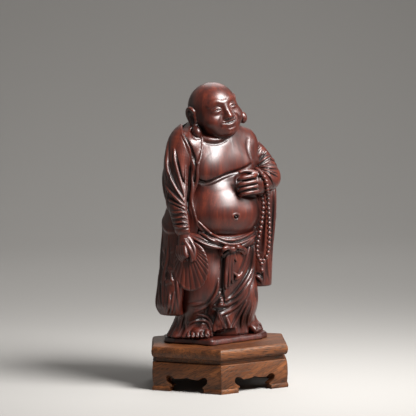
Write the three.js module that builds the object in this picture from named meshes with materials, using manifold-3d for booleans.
// A carved hardwood laughing buddha with fan and prayer beads, on a separate hexagonal stand.
// Millimetres, +Z up. The origin is on the table, under the middle of the stand. The figure faces -Y,
// so its right hand, with the fan, is at -X, and its left hand, with the beads, is at +X.

import * as THREE from 'three';
import { mergeVertices } from 'three/addons/utils/BufferGeometryUtils.js';
import Module from 'manifold-3d';

const wasm = await Module();
wasm.setup();

// Clearances
const SEAT_GAP = 0.3; // between one carved piece and the next
const COLLAR_ROOM = 1.8; // between the robe and the head above it
const GLUE_LINE = 0.1; // between two mitred aprons
const PEG_CLEARANCE = 0.08; // round a peg, in the figure's hole

// Stand
const SIDE = 60; // length of one side of the hexagon, at the aprons' top edge
const APRON_HEIGHT = 22;
const APRON_THICK = 6;
const APRON_BELLY = 0.7; // how far an apron's face swells
const FOOT_LIP = 1.2; // how far the foot's lip stands out
const FOOT_LIP_HEIGHT = 3.2;
const WAIST_HEIGHT = 3.6;
const WAIST_SET_BACK = 2.6; // from the aprons' face
const BOARD_THICK = 8.4;
const BOARD_OVERHANG = 1.3; // of the rounded edge, past the aprons' face
const BLOCK_LEG = 9; // length of a glue block along each apron
const BLOCK_HEIGHT = 15;
const PEG_RADIUS = 2;
const PEG_SINK = 5; // depth of a peg in the board
const PEG_STAND = 3; // height of a peg above the board
const PEG_SPREAD = 44; // between the two pegs

// Arched opening of an apron, from its middle line
const ARCH_HALF_WIDTH = 18.5;
const ARCH_CROWN = 12.3; // top of each side lobe
const ARCH_CUSP = 10; // lowest points between the lobes and the middle
const ARCH_PEAK = 11.6; // pointed middle
const ARCH_TOE = 15; // half the gap between two feet at the floor

// Levels of the figure, from the underside of its ground plate
const PLATE_THICK = 4.6;
const WAIST_Z = 76; // the sash, in front
const BELLY_Z = WAIST_Z + 26;
const CHEST_Z = BELLY_Z + 34;
const SHOULDER_Z = CHEST_Z + 17;
const HEAD_Z = SHOULDER_Z + 29.5;

// Main masses: centre and radii
const BELLY = { at: [2, -3.5, BELLY_Z], r: [33.5, 26.5, 25] };
const CHEST = { at: [0.5, 0, CHEST_Z], r: [29, 19, 24] };
const THROAT = { at: [2, -2.5, CHEST_Z + 16], r: [22.5, 14, 16.5] };
const RIGHT_BREAST = { at: [-10, -8.4, CHEST_Z + 1], r: [16, 10.8, 15], turn: [-8, 0, 0] };
const LEFT_BREAST = { at: [14, -7.4, CHEST_Z + 4.5], r: [15.5, 10.6, 15], turn: [-8, 0, 0] };
const SHOULDER = { x: 25, y: 1, z: SHOULDER_Z + 4, r: 14 }; // the bare one; the other is less
const HEAD_TILT = 15; // degrees, towards its right shoulder
const SKULL = { r: [19.2, 20.3, 19.5], z: 2 };
const JAW = { r: [17.6, 17.2, 15.5], y: -1.6, z: -8.5 };
const EYES_Z = -1; // half way up the head
const NOSE_Z = -9;
const MOUTH_Z = -14;
const CHIN_Z = -19.5;
const LOBE = { at: [21.4, -3.4, -12.6], r: [3.5, 3.9, 5] };

const WOOD = { color: 0x4a2118, roughness: 0.38, metalness: 0 };
const STAND_WOOD = { color: 0x5b3d28, roughness: 0.55, metalness: 0 };

const STAND_HEIGHT = APRON_HEIGHT + WAIST_HEIGHT + BOARD_THICK;
const SIX = [0, 1, 2, 3, 4, 5];
const rad = THREE.MathUtils.degToRad;
const flat = (side) => side * Math.cos(rad(30)); // middle of a side, from the axis

// Solids in and out of manifold-3d

function solid(geometry) {
  const bare = geometry.clone();
  bare.deleteAttribute('normal');
  bare.deleteAttribute('uv');
  const merged = mergeVertices(bare, 1e-4);
  return new wasm.Manifold(new wasm.Mesh({
    numProp: 3,
    vertProperties: merged.attributes.position.array,
    triVerts: new Uint32Array(merged.index.array),
  }));
}

// The geometry of a solid's largest body: a cut can leave crumbs behind.
function geometry(made) {
  const [body] = made.decompose().sort((a, b) => b.volume() - a.volume());
  const { vertProperties, triVerts } = body.getMesh();
  return new THREE.BufferGeometry()
    .setAttribute('position', new THREE.BufferAttribute(vertProperties, 3))
    .setIndex(new THREE.BufferAttribute(triVerts, 1));
}

const join = (...parts) => parts.reduce((a, b) => a.add(b));
const cut = (body, ...tools) => tools.reduce((a, b) => a.subtract(b), body);

// An egg: a sphere with three radii, turned by degrees about X, Y and Z.
function egg({ at, r, turn = [0, 0, 0] }, grow = 0, sides = 12, rings = 8) {
  const ball = new THREE.SphereGeometry(1, sides, rings);
  ball.rotateX(Math.PI / 2);
  ball.scale(r[0] + grow, r[1] + grow, r[2] + grow);
  ball.rotateX(rad(turn[0])).rotateY(rad(turn[1])).rotateZ(rad(turn[2]));
  ball.translate(...at);
  return solid(ball);
}

// A closed skin over rings of points that all hold the same number of points.
function skin(rings, loop = false) {
  const sides = rings[0].length;
  const points = rings.flat();
  const index = [];
  const last = loop ? rings.length : rings.length - 1;
  for (let i = 0; i < last; i++) {
    const next = (i + 1) % rings.length;
    for (let j = 0; j < sides; j++) {
      const k = (j + 1) % sides;
      const [a, b, c, d] = [i * sides + j, i * sides + k, next * sides + k, next * sides + j];
      index.push(a, b, c, a, c, d);
    }
  }
  if (!loop) {
    for (const [ring, first] of [[rings[0], 0], [rings.at(-1), (rings.length - 1) * sides]]) {
      const middle = ring.reduce((sum, p) => sum.add(p), new THREE.Vector3()).divideScalar(sides);
      points.push(middle);
      for (let j = 0; j < sides; j++) {
        const pair = [first + j, first + (j + 1) % sides];
        index.push(points.length - 1, ...(first ? pair : pair.reverse()));
      }
    }
  }
  return solid(new THREE.BufferGeometry().setFromPoints(points).setIndex(index));
}

// A drape: level oval rings [height, middle x, middle y, half width, half depth]. The pleats stand
// out by their depth at the hem and die out upwards; they wander a little to both sides.
function drape(rings, { grow = 0, sides = 28, pleats = 0, depth = 0, fade = 1.5, wander = 0 } = {}) {
  return skin(rings.map(([z, x, y, a, b], i) => {
    const end = i === 0 ? -grow : i === rings.length - 1 ? grow : 0;
    const hem = depth * (1 - i / (rings.length - 1)) ** fade;
    return Array.from({ length: sides }, (_, j) => {
      const turn = (j / sides) * 2 * Math.PI;
      const swell = grow + hem * Math.cos(pleats * turn + wander * (Math.sin(2 * turn) + i / 5));
      return new THREE.Vector3(
        x + (a + swell) * Math.cos(turn), y + (b + swell) * Math.sin(turn), z + end);
    });
  }));
}

// A limb: a round tube through points [x, y, z, radius], with domed ends. Cloth on it has folds
// that wind round it.
function limb(points, { grow = 0, sides = 10, steps = 8, loop = false, folds = 0, depth = 0 } = {}) {
  const curve = new THREE.CatmullRomCurve3(points.map((p) => new THREE.Vector3(...p)), loop);
  const radius = new THREE.CatmullRomCurve3(
    points.map((p) => new THREE.Vector3(p[3], 0, 0)), loop);
  const frames = curve.computeFrenetFrames(steps, loop);
  const rings = [];
  const ring = (i, share, push) => {
    const middle = curve.getPoint(i / steps).addScaledVector(frames.tangents[i], push);
    rings.push(Array.from({ length: sides }, (_, j) => {
      const turn = (j / sides) * 2 * Math.PI;
      const swell = depth * Math.cos(2 * Math.PI * folds * (i / steps) + turn);
      const r = (radius.getPoint(i / steps).x + swell + grow) * share;
      return middle.clone()
        .addScaledVector(frames.normals[i], r * Math.cos(turn))
        .addScaledVector(frames.binormals[i], r * Math.sin(turn));
    }));
  };
  const dome = [[0.5, 0.85], [0.85, 0.5]];
  const [first, end] = [points[0][3] + grow, points.at(-1)[3] + grow];
  if (!loop) dome.forEach(([share, push]) => ring(0, share, -push * first));
  for (let i = 0; i < (loop ? steps : steps + 1); i++) ring(i, 1, 0);
  if (!loop) dome.reverse().forEach(([share, push]) => ring(steps, share, push * end));
  return skin(rings, loop);
}

// An outline in X and Y, drawn up from z.
function slab(shape, z, height, extra = {}) {
  const made = new THREE.ExtrudeGeometry(
    shape, { depth: height, bevelEnabled: false, curveSegments: 6, ...extra });
  return solid(made.translate(0, 0, z));
}

const polygon = (points) => new THREE.Shape(points.map(([x, y]) => new THREE.Vector2(x, y)));

// A six-sided turning: the profile [corner radius, height] swept round in six flat sides.
function hexagon(profile) {
  const turned = new THREE.LatheGeometry(profile.map(([r, z]) => new THREE.Vector2(r, z)), 6);
  return solid(turned.rotateX(Math.PI / 2).rotateZ(Math.PI / 2));
}

// Stand

function pegHole(x, radius, z, depth) {
  const hole = new THREE.CylinderGeometry(radius, radius, depth, 24);
  return solid(hole.rotateX(Math.PI / 2).translate(x, 0, z + depth / 2));
}

const PEGS_X = [-PEG_SPREAD / 2, PEG_SPREAD / 2];

function topBoard() {
  const z = APRON_HEIGHT + WAIST_HEIGHT;
  const round = 8;
  const edge = Array.from({ length: round + 1 }, (_, i) => {
    const turn = rad(-75 + (150 * i) / round);
    return [
      SIDE + BOARD_OVERHANG - (BOARD_THICK / 2) * (1 - Math.cos(turn)) * 0.62,
      z + (BOARD_THICK / 2) * (1 + Math.sin(turn) / Math.sin(rad(75))),
    ];
  });
  const board = hexagon([[0, z], ...edge, [0, z + BOARD_THICK]]);
  const holes = PEGS_X.map((x) => pegHole(x, PEG_RADIUS, STAND_HEIGHT - PEG_SINK, PEG_SINK + 1));
  return cut(board, ...holes);
}

function waistBoard() {
  const corner = SIDE - WAIST_SET_BACK / Math.cos(rad(30));
  return hexagon([
    [0, APRON_HEIGHT], [corner, APRON_HEIGHT],
    [corner, APRON_HEIGHT + WAIST_HEIGHT], [0, APRON_HEIGHT + WAIST_HEIGHT],
  ]);
}

// The arched opening, drawn across (x) and up (y), running a little below the floor.
function archShape() {
  const shape = new THREE.Shape();
  shape.moveTo(-ARCH_TOE, -1);
  for (const side of [-1, 1]) {
    const half = [
      [[ARCH_TOE, FOOT_LIP_HEIGHT]],
      [[ARCH_TOE - 2.2, FOOT_LIP_HEIGHT + 0.3], [ARCH_TOE - 1.2, FOOT_LIP_HEIGHT + 1.8]],
      [[ARCH_HALF_WIDTH - 2, ARCH_CUSP - 3.6], [ARCH_HALF_WIDTH - 0.6, ARCH_CUSP - 2]],
      [[ARCH_HALF_WIDTH + 0.6, ARCH_CUSP + 1.4], [ARCH_HALF_WIDTH - 2.4, ARCH_CROWN]],
      [[ARCH_HALF_WIDTH - 5.2, ARCH_CROWN + 0.4], [ARCH_HALF_WIDTH - 7, ARCH_CUSP + 0.6]],
      [[ARCH_HALF_WIDTH - 9, ARCH_CUSP - 0.6], [ARCH_HALF_WIDTH / 2 - 2.2, ARCH_CUSP + 0.2]],
      [[ARCH_HALF_WIDTH / 4 - 2, ARCH_CUSP + 0.2], [0, ARCH_PEAK]],
    ];
    if (side < 0) {
      for (const step of half) {
        if (step.length === 1) shape.lineTo(-step[0][0], step[0][1]);
        else shape.quadraticCurveTo(-step[0][0], step[0][1], -step[1][0], step[1][1]);
      }
    } else {
      const stops = half.map((step) => step.at(-1));
      for (let i = half.length - 1; i > 0; i--) {
        shape.quadraticCurveTo(...half[i][0], ...stops[i - 1]);
      }
    }
  }
  shape.lineTo(ARCH_TOE, -1);
  return shape;
}

// One apron at -Y: its section is drawn across the thickness and swept along the side, the
// ends are mitred to the corners, and the arch is cut through.
function frontApron() {
  const face = flat(SIDE);
  const inside = face - APRON_THICK;
  const lip = FOOT_LIP_HEIGHT;
  const section = new THREE.Shape();
  section.moveTo(inside, 0);
  section.lineTo(face + FOOT_LIP - 0.5, 0);
  section.quadraticCurveTo(face + FOOT_LIP, lip / 2, face + FOOT_LIP - 0.5, lip - 0.3);
  section.lineTo(face, lip + 0.3);
  section.quadraticCurveTo(face + APRON_BELLY * 2, APRON_HEIGHT * 0.6, face, APRON_HEIGHT - 0.4);
  section.lineTo(face - 0.4, APRON_HEIGHT);
  section.lineTo(inside, APRON_HEIGHT);
  const length = 2 * SIDE;
  const bar = new THREE.ExtrudeGeometry(
    section, { depth: length, bevelEnabled: false, curveSegments: 6 });
  bar.rotateX(Math.PI / 2).rotateZ(-Math.PI / 2).translate(length / 2, 0, 0);
  const reach = 2 * SIDE;
  const wedge = slab(polygon([
    [0, 0],
    [-reach * Math.sin(rad(30)), -reach * Math.cos(rad(30))],
    [reach * Math.sin(rad(30)), -reach * Math.cos(rad(30))],
  ]), -1, APRON_HEIGHT + 2).translate([0, -GLUE_LINE, 0]);
  const arch = new THREE.ExtrudeGeometry(
    archShape(), { depth: SIDE, bevelEnabled: false, curveSegments: 4 });
  arch.rotateX(Math.PI / 2);
  return cut(solid(bar).intersect(wedge), solid(arch));
}

// One glue block, in the corner at +X, against the two aprons that meet there.
function cornerBlock() {
  const inner = (flat(SIDE) - APRON_THICK - SEAT_GAP) / Math.cos(rad(30));
  const along = BLOCK_LEG;
  const leg = [inner - along * Math.cos(rad(60)), along * Math.sin(rad(60))];
  return slab(polygon([
    [inner, 0], leg, [leg[0] - 3, leg[1] - 2], [leg[0] - 3, 2 - leg[1]], [leg[0], -leg[1]],
  ]), APRON_HEIGHT - BLOCK_HEIGHT, BLOCK_HEIGHT);
}

// Figure. Each form is a function of how far it is grown, so that a neighbour can be cut to it.

const skirtRings = [
  [PLATE_THICK + SEAT_GAP, 0.5, 6, 42.5, 23.5],
  [PLATE_THICK + 5, 0.5, 6, 39.5, 22.5],
  [PLATE_THICK + 10, 0.5, 5.5, 36, 21.5],
  [PLATE_THICK + 18, 0.5, 4.5, 33.4, 20.6],
  [PLATE_THICK + 28, 0, 3.5, 33.2, 21],
  [WAIST_Z - 30, 0, 2, 34.6, 22.4],
  [WAIST_Z - 16, 0, 1, 36, 23.6],
  [WAIST_Z - 4, 0, 0.5, 36.5, 24.2],
  [WAIST_Z + 6, 0, 0, 34, 22],
];
const SWAG = 2.3; // radius of the rolled edge of a swag
const RIGHT_FOOT = { at: [-23.4, -8.6], turn: -28 };
const LEFT_FOOT = { at: [24, -6], turn: 28 };

// A point on the skirt's side: degrees round it (-90 is the front), height, and how far out.
function onSkirt(turn, z, out) {
  const above = skirtRings.findIndex((ring) => ring[0] >= z);
  const [low, high] = [skirtRings[above - 1], skirtRings[above]];
  const share = (z - low[0]) / (high[0] - low[0]);
  const [x, y, a, b] = [1, 2, 3, 4].map((k) => THREE.MathUtils.lerp(low[k], high[k], share));
  return [x + (a + out) * Math.cos(rad(turn)), y + (b + out) * Math.sin(rad(turn)), z];
}
const swag = (points, grow, out = -0.7, r = SWAG) => limb(
  points.map(([turn, drop]) => [...onSkirt(turn, WAIST_Z - drop, out), r]),
  { grow, sides: 6, steps: points.length * 2 });
// The arch in the hem over a foot.
const instep = ({ at, turn }, grow) => egg({ at: [0, -6, 5.4], r: [9, 12, 6.4] }, -grow, 14, 8)
  .rotate([0, 0, turn]).translate([...at, 0]);
const skirt = (grow = 0) => cut(
  join(
    drape(skirtRings, { grow, sides: 68, pleats: 17, depth: 1.2 }),
    egg({ at: [-14.5, -11, WAIST_Z - 29], r: [15, 12.6, 24], turn: [0, 0, -20] }, grow, 16, 10),
    egg({ at: [-27, -2, WAIST_Z - 36], r: [9.5, 16, 24] }, grow, 12, 8),
    egg({ at: [17, -9.6, WAIST_Z - 42], r: [13, 12, 22], turn: [0, 0, 20] }, grow, 14, 8),
    swag([[-59, 2], [-65, 8], [-70, 15], [-77, 22], [-87, 29]], grow),
    swag([[-51, 4], [-53, 12], [-58, 21], [-68, 29], [-80, 36], [-91, 42], [-100, 45]], grow),
    swag([[-50, 18], [-62, 31], [-78, 41], [-90, 46], [-100, 49]], grow)),
  swag([[-105, 10], [-106, 20], [-106, 32], [-104, 44]], -grow, 1.2),
  instep(RIGHT_FOOT, grow), instep(LEFT_FOOT, grow));

const shoulder = (side, r, grow) => limb([
  [side * 6, SHOULDER.y + 1, SHOULDER.z + 10, r - 4],
  [side * SHOULDER.x * (r / SHOULDER.r) ** 0.5, SHOULDER.y, SHOULDER.z + r - SHOULDER.r, r],
], { grow, steps: 2 });
const torso = (grow = 0) => join(
  egg(BELLY, grow, 20, 12), egg(CHEST, grow, 14, 8), egg(THROAT, grow, 14, 8),
  shoulder(-1, SHOULDER.r - 3, grow), shoulder(1, SHOULDER.r - 0.6, grow),
  egg(RIGHT_BREAST, grow, 14, 8), egg(LEFT_BREAST, grow, 14, 8));

// The head is made upright about its own middle, then tilted and set on the neck.
function head(grow = 0) {
  const pair = (made) => [made, made.mirror([1, 0, 0])];
  const parts = join(
    egg({ at: [0, 0, SKULL.z], r: SKULL.r }, grow, 16, 10),
    egg({ at: [0, JAW.y, JAW.z], r: JAW.r }, grow, 14, 8),
    egg({ at: [0, -18.8, NOSE_Z], r: [2.8, 3.2, 2.1] }, grow, 8, 6),
    egg({ at: [0, -18.6, (NOSE_Z + EYES_Z) / 2], r: [1.5, 2, 5] }, grow, 8, 6),
    egg({ at: [0, -17.2, MOUTH_Z], r: [4.6, 1.8, 1.5] }, grow, 8, 6),
    egg({ at: [0, -14.4, CHIN_Z], r: [5, 3, 3] }, grow, 8, 6),
    ...pair(egg({ at: [7, -17, EYES_Z], r: [3.9, 2, 1.7] }, grow, 8, 6)),
    ...pair(egg({ at: [18.8, 1.5, -3], r: [2.6, 4.4, 8.6], turn: [0, 0, 12] }, grow, 8, 6)),
    ...pair(limb([[19.4, 0.6, -6, 2.4], [LOBE.at[0] - 0.8, LOBE.at[1] + 1, LOBE.at[2] + 2, 2.6]],
      { grow, sides: 6, steps: 2 })),
    ...pair(egg(LOBE, grow, 10, 8)));
  return parts.rotate([-3, -HEAD_TILT, 0]).translate([-2.5, -3, HEAD_Z]);
}

// The sash: a thick roll of cloth that dips under the belly.
function sash(grow = 0) {
  const turns = 16;
  const dip = 7;
  const points = Array.from({ length: turns }, (_, i) => {
    const turn = (i / turns) * 2 * Math.PI;
    return [33 * Math.sin(turn), -0.5 - 22.5 * Math.cos(turn),
      WAIST_Z + 2.5 + dip * (1 - Math.cos(turn)), 5.2];
  });
  return limb(points, { grow, sides: 8, steps: 20, loop: true });
}

const bow = (grow = 0) => join(
  egg({ at: [-0.6, -25.6, WAIST_Z - 2.6], r: [3.2, 3, 3.2] }, grow, 8, 6),
  egg({ at: [-7.4, -24.8, WAIST_Z - 3.4], r: [5.6, 2.8, 3], turn: [0, -18, 0] }, grow, 8, 6),
  egg({ at: [6.4, -24.8, WAIST_Z - 3], r: [5.8, 2.8, 3], turn: [0, 18, 0] }, grow, 8, 6),
  limb([[-3, -25.4, WAIST_Z - 5, 2.7], [-4, -24.8, WAIST_Z - 18, 3],
    [-4.8, -24.6, WAIST_Z - 33, 2.8]], { grow, sides: 6, steps: 3 }),
  limb([[2.4, -25.2, WAIST_Z - 5, 1.8], [3, -24.6, WAIST_Z - 12, 2]], { grow, sides: 6, steps: 2 }));

// The open robe: a wrap all round that follows the shoulders, with the front and the bare left
// shoulder cut away.
const ROBE_THICK = 1.8; // over the shoulders
const FAR = 80; // a cut's reach, past the figure on every side
const BARE = { x: 10, y: 7, z: SHOULDER_Z - 9 }; // inner corner of the part left bare
const robeRings = [
  [WAIST_Z - 50, -5, 7, 36, 22],
  [WAIST_Z - 36, -3.5, 6, 38, 23.5],
  [WAIST_Z - 16, -1, 5, 40.5, 25],
  [WAIST_Z + 4, 0, 4, 41, 26],
  [BELLY_Z, 0.5, 3, 41, 27],
  [BELLY_Z + 16, 0, 2.5, 40, 25],
  [CHEST_Z + 2, -0.5, 2, 37, 22],
  [SHOULDER_Z - 2, -1, 2, 34.5, 17.5],
  [SHOULDER_Z + 6, -2, 3, 30, 15.5],
  [SHOULDER_Z + 12, -3, 3.5, 25, 14],
  [SHOULDER_Z + 18, -4, 4, 18, 12.5],
  [SHOULDER_Z + 23, -4, 5, 12, 10],
];
// The opening's left and right edges [height, x at the right hand's side, x at the left hand's].
const openingEdges = [
  [WAIST_Z - 60, -31, 30], [WAIST_Z, -31, 31], [BELLY_Z, -31, 33], [CHEST_Z - 6, -23, 33],
  [SHOULDER_Z - 4, -19, 34], [SHOULDER_Z + 12, -13, 14], [SHOULDER_Z + 26, -9, 8],
];
const opening = (shrink = 0) => skin(openingEdges.map(([z, left, right]) => [
  [left + shrink, -FAR], [right - shrink, -FAR], [right - shrink, -2], [left + shrink, -2],
].map(([x, y]) => new THREE.Vector3(x, y, z))));
const bareShoulder = (shrink = 0) => slab(polygon([
  [BARE.x + shrink, BARE.y - shrink], [BARE.x + shrink, -FAR], [FAR, -FAR], [FAR, BARE.y - shrink],
]), BARE.z + shrink, FAR);
const robe = (grow = 0) => cut(
  join(
    drape(robeRings, { grow, sides: 60, pleats: 10, depth: 2, fade: 0.7, wander: 0.9 }),
    torso(ROBE_THICK + grow)),
  opening(grow), bareShoulder(grow));

// The long right sleeve's hanging end, behind the forearm.
const rightDrape = (grow = 0) => drape([
  [WAIST_Z - 53, -40, 4, 8.5, 12],
  [WAIST_Z - 46, -43, 3, 9, 14],
  [WAIST_Z - 38, -42.4, 2, 8.8, 14.5],
  [WAIST_Z - 20, -39.5, 1.5, 8.4, 14],
  [WAIST_Z, -38, 2, 7.6, 12.5],
  [WAIST_Z + 20, -37.4, 3, 7, 11],
  [WAIST_Z + 34, -35, 3, 5, 8],
], { grow, sides: 24, pleats: 6, depth: 1.2 });

const RIGHT_WRIST = [-38.6, -14.5, BELLY_Z - 13.5];
const rightSleeve = (grow = 0) => limb([
  [-12, 3.5, SHOULDER_Z + 14, 9.6], [-23.4, 3, SHOULDER_Z + 5.6, 13.4],
  [-29.5, 2, SHOULDER_Z - 5, 12.8], [-33, 1, CHEST_Z, 11.6],
  [-35.4, -2.5, CHEST_Z - 17, 10.6], [-37, -8, BELLY_Z + 4, 9.2], [...RIGHT_WRIST, 6.8],
], { grow, sides: 14, steps: 28, folds: 5, depth: 0.9 });

// The hands: a palm, four fingers and a thumb.
const rightHand = (grow = 0) => join(
  egg({ at: [-38.2, -14.6, BELLY_Z - 23.5], r: [5, 4.8, 9] }, grow, 10, 8),
  ...[0, 1, 2, 3].map((i) => limb([
    [-42.4 + i * 0.3, -13.4 - i * 2.6, BELLY_Z - 28, 2], [-40.6, -17.4 - i * 1.4, BELLY_Z - 34 + i, 1.9],
    [-37.6, -17.6 - i * 0.6, BELLY_Z - 35 + i * 2, 1.7],
  ], { grow, sides: 6, steps: 3 })),
  limb([[-34.6, -18, BELLY_Z - 21, 2.4], [-33, -21, BELLY_Z - 28, 2.2],
    [-34, -22, BELLY_Z - 34, 1.8]], { grow, sides: 6, steps: 3 }));

// The palm-leaf fan hangs from the right hand: a thin oval leaf and its handle.
const FAN = { at: [-35.2, -19, WAIST_Z - 14], r: [14.8, 20], thick: 2.4, turn: -45 };
function fan(grow = 0) {
  const outline = new THREE.Shape();
  outline.absellipse(0, 0, FAN.r[0] + grow, FAN.r[1] + grow, 0, 2 * Math.PI);
  const leaf = slab(outline, -FAN.thick / 2 - grow, FAN.thick + 2 * grow, { curveSegments: 14 });
  const handle = limb([[-3, FAN.r[1] - 3, 0, 1.5], [-6.5, FAN.r[1] + 7, 0.6, 1.5]],
    { grow, sides: 6, steps: 1 });
  return join(leaf, handle).rotate([90, 0, 0]).rotate([0, 0, FAN.turn]).translate(FAN.at);
}

// The left arm: bare at the shoulder, then a wide sleeve from the elbow to the wrist.
const LEFT_WRIST = [30.4, -22.6, BELLY_Z + 24];
const leftSleeve = (grow = 0) => limb([
  [30, 2, SHOULDER_Z - 5, 9.8], [36.5, 0, CHEST_Z + 4, 9.8], [41.2, -4, CHEST_Z - 4.6, 9.8],
  [38.5, -15, BELLY_Z + 25, 10], [...LEFT_WRIST, 8.4],
], { grow, sides: 12, steps: 8 });
const leftDrape = (grow = 0) => drape([
  [WAIST_Z - 34.6, 34.8, -5, 10.2, 12.4],
  [WAIST_Z - 18, 35.2, -5, 10.8, 13],
  [WAIST_Z, 35.4, -5.5, 11.2, 14.2],
  [BELLY_Z, 36.4, -6, 12.4, 15.2],
  [BELLY_Z + 14, 37.4, -6.5, 12.2, 15],
  [BELLY_Z + 25, 38.4, -7, 9.6, 12],
], { grow, sides: 24, pleats: 6, depth: 1 });
const leftHand = (grow = 0) => join(
  egg({ at: [22.4, -27.8, BELLY_Z + 22.4], r: [9.8, 5.6, 8.4], turn: [0, 12, -22] }, grow, 10, 8),
  ...[0, 1, 2, 3].map((i) => limb([
    [19, -31.2 + i * 0.9, BELLY_Z + 27 - i * 4.1, 2.4],
    [10, -34 + i * 0.4, BELLY_Z + 26.4 - i * 4.1, 2.3],
    [3.2, -31.6, BELLY_Z + 25 - i * 4, 1.9],
  ], { grow, sides: 6, steps: 3 })),
  limb([[24, -28.4, BELLY_Z + 29, 2.8], [16, -30.6, BELLY_Z + 31.6, 2.4],
    [9.8, -30.8, BELLY_Z + 31.2, 1.9]], { grow, sides: 6, steps: 3 }));

// The prayer beads: one carved string, two strands that meet over a pendant pair.
const BEAD = { pitch: 3.8, radius: 1.85, waist: 0.9 };
function beadString(points) {
  const curve = new THREE.CatmullRomCurve3(points.map((p) => new THREE.Vector3(...p)));
  const count = 2 * Math.round(curve.getLength() / BEAD.pitch);
  const rings = Array.from({ length: count + 1 }, (_, i) => {
    const r = i % 2 ? BEAD.radius : BEAD.waist;
    const middle = curve.getPointAt(i / count);
    const tangent = curve.getTangentAt(i / count);
    const across = new THREE.Vector3(0, 1, 0).addScaledVector(tangent, -tangent.y).normalize();
    const up = tangent.clone().cross(across);
    return Array.from({ length: 6 }, (_, j) => middle.clone()
      .addScaledVector(across, r * Math.cos((j * Math.PI) / 3))
      .addScaledVector(up, r * Math.sin((j * Math.PI) / 3)));
  });
  return skin(rings);
}
const BEADS_LOW = WAIST_Z - 14;
const beads = () => join(
  beadString([
    [LEFT_WRIST[0] - 13, -35, BELLY_Z + 33], [LEFT_WRIST[0] - 6.6, -35.6, BELLY_Z + 27],
    [LEFT_WRIST[0] - 4.6, -34.6, BELLY_Z + 19], [LEFT_WRIST[0] - 3.4, -29.4, BELLY_Z + 11],
    [26, -27.8, BELLY_Z], [24.4, -27, WAIST_Z + 14], [22.4, -25.8, WAIST_Z + 2],
    [22, -25.6, WAIST_Z - 8], [25, -26, BEADS_LOW], [29.6, -26.6, WAIST_Z - 9],
    [31, -27.4, WAIST_Z + 3], [31.8, -28.4, BELLY_Z - 2], [31.8, -28.6, BELLY_Z + 10],
  ]),
  beadString([[25.2, -26, BEADS_LOW + 1], [25.4, -26, BEADS_LOW - 8]]));

// A bare foot: the instep under the hem and five toes. The left one is drawn.
function foot({ at, turn }, grow = 0) {
  const toes = [2.4, 1.8, 1.7, 1.6, 1.5].map((r, i) => egg(
    { at: [-6.2 + i * 3.4 + (i > 0 ? 0.7 : 0), -8.2 + i * 0.75, 3.2 - i * 0.1],
      r: [r, 3.4, 3.1 - i * 0.1] }, grow, 8, 6));
  const made = join(
    egg({ at: [0, 1.6, 4.6], r: [7.4, 9.6, 4.5] }, grow, 12, 8),
    egg({ at: [-0.6, -4, 3.8], r: [7, 4.8, 3.6] }, grow, 10, 6), ...toes);
  return made.scale([Math.sign(turn), 1, 1]).rotate([0, 0, turn])
    .translate([...at, PLATE_THICK + SEAT_GAP]);
}

// The ground plate: a slab hewn to a few straight sides, with a chamfered rim.
const plateOutline = polygon([
  [-24.6, -28.6], [4, -22.6], [31, -17.6], [41, -9], [46.6, 4], [43.6, 19], [30, 29.5],
  [6, 32.5], [-18, 32], [-36, 27], [-42.6, 14], [-40.4, 4], [-30, -12],
]);
function plate(holes = true, grow = 0) {
  const rim = 1.4;
  const made = slab(plateOutline, rim, PLATE_THICK - 2 * rim + 2 * grow, {
    bevelEnabled: true, bevelThickness: rim, bevelSize: rim * 0.8, bevelOffset: -rim * 0.8,
    bevelSegments: 1,
  });
  if (!holes) return made;
  return cut(made, ...PEGS_X.map((x) => pegHole(
    x, PEG_RADIUS + PEG_CLEARANCE, -1, 1 + PEG_STAND + SEAT_GAP)));
}

// Assembly

function piece(name, made, look) {
  const mesh = new THREE.Mesh(geometry(made), new THREE.MeshStandardMaterial(look));
  mesh.name = name;
  return mesh;
}

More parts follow.
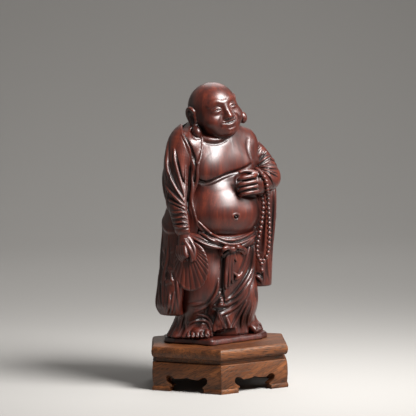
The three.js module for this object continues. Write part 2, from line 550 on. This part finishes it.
const stand = new THREE.Group();
stand.add(piece('top_board', topBoard(), STAND_WOOD), piece('waist_board', waistBoard(), STAND_WOOD));
const apron = frontApron();
const block = cornerBlock();
const apronNames = ['front', 'front_left', 'back_left', 'back', 'back_right', 'front_right'];
const blockNames = ['left', 'back_left', 'back_right', 'right', 'front_right', 'front_left'];
for (const i of SIX) {
  stand.add(
    piece(`apron_${apronNames[i]}`, apron.rotate([0, 0, 60 * i]), STAND_WOOD),
    piece(`corner_block_${blockNames[i]}`, block.rotate([0, 0, 60 * i]), STAND_WOOD));
}
for (const [i, x] of PEGS_X.entries()) {
  const pin = pegHole(x, PEG_RADIUS - 0.02, STAND_HEIGHT - PEG_SINK, PEG_SINK + PEG_STAND);
  stand.add(piece(`peg_${i ? 'left' : 'right'}`, pin, STAND_WOOD));
}

const g = SEAT_GAP;
const figure = new THREE.Group();
figure.position.z = STAND_HEIGHT;
const carved = {
  ground_plate: plate(),
  skirt: skirt(),
  right_foot: cut(foot(RIGHT_FOOT), skirt(g)),
  left_foot: cut(foot(LEFT_FOOT), skirt(g)),
  torso: cut(torso(), skirt(g)),
  head: cut(head(), torso(g)),
  sash: cut(sash(), torso(g), skirt(g)),
  bow: cut(bow(), torso(g), skirt(g), sash(g)),
  robe: cut(robe(), torso(g), skirt(g), sash(g), head(COLLAR_ROOM)),
  right_drape: cut(rightDrape(), torso(g), skirt(g), robe(g), sash(g)),
  right_sleeve: cut(rightSleeve(), torso(g), skirt(g), robe(g), sash(g), rightDrape(g), head(g)),
  right_hand: cut(rightHand(), rightSleeve(g), rightDrape(g), robe(g), skirt(g), sash(g), fan(g)),
  fan: cut(fan(), skirt(g), robe(g), rightDrape(g), rightSleeve(g)),
  left_drape: cut(leftDrape(), torso(g), skirt(g), robe(g), sash(g)),
  left_sleeve: cut(leftSleeve(), torso(g), robe(g), sash(g), leftDrape(g)),
  left_hand: cut(leftHand(), torso(g), leftSleeve(g), leftDrape(g)),
  prayer_beads: cut(beads(), leftHand(g), leftSleeve(g), leftDrape(g), torso(g), sash(g), skirt(g)),
};
for (const [name, made] of Object.entries(carved)) figure.add(piece(name, made, WOOD));

const statue = new THREE.Group();
statue.add(stand, figure);

export default statue;
